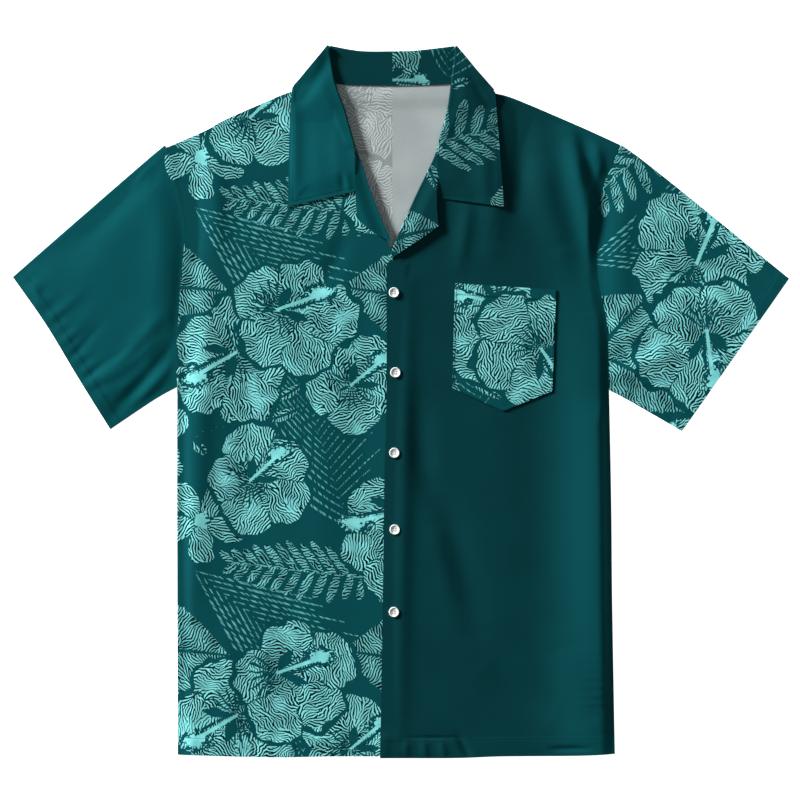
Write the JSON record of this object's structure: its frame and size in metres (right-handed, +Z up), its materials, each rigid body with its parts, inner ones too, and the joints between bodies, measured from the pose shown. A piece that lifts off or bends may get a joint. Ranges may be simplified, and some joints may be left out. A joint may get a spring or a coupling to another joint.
{
  "type": "hawaiian shirt",
  "caption": "Short-sleeved camp-collar shirt laid flat, half plain teal and half printed with hibiscus and leaves, with a patch pocket and buttoned front.",
  "frame": {"origin": "on the surface under the middle of the laid shirt's outline", "axes": "+X towards the wearer's left, +Y towards the collar, +Z up from the surface, out of the front"},
  "size_m": [0.8538, 0.7822, 0.0086],
  "materials": {
    "plain_cloth": "smooth dark teal shirting with a faint sheen",
    "printed_cloth": "dark teal shirting printed in aqua with flowers and leaves, pale grey on its reverse",
    "button_plastic": "glossy white"
  },
  "bodies": {
    "root": {"back_right": "printed_cloth", "back_left": "plain_cloth", "front_right": "printed_cloth", "front_left": "plain_cloth", "sleeve_right": "plain_cloth", "sleeve_left": "printed_cloth", "collar_right": "plain_cloth", "collar_left": "printed_cloth", "lapel_right": "plain_cloth", "lapel_left": "printed_cloth", "pocket": "printed_cloth", "button_1": "button_plastic", "button_2": "button_plastic", "button_3": "button_plastic", "button_4": "button_plastic", "button_5": "button_plastic"}
  },
  "joints": []
}
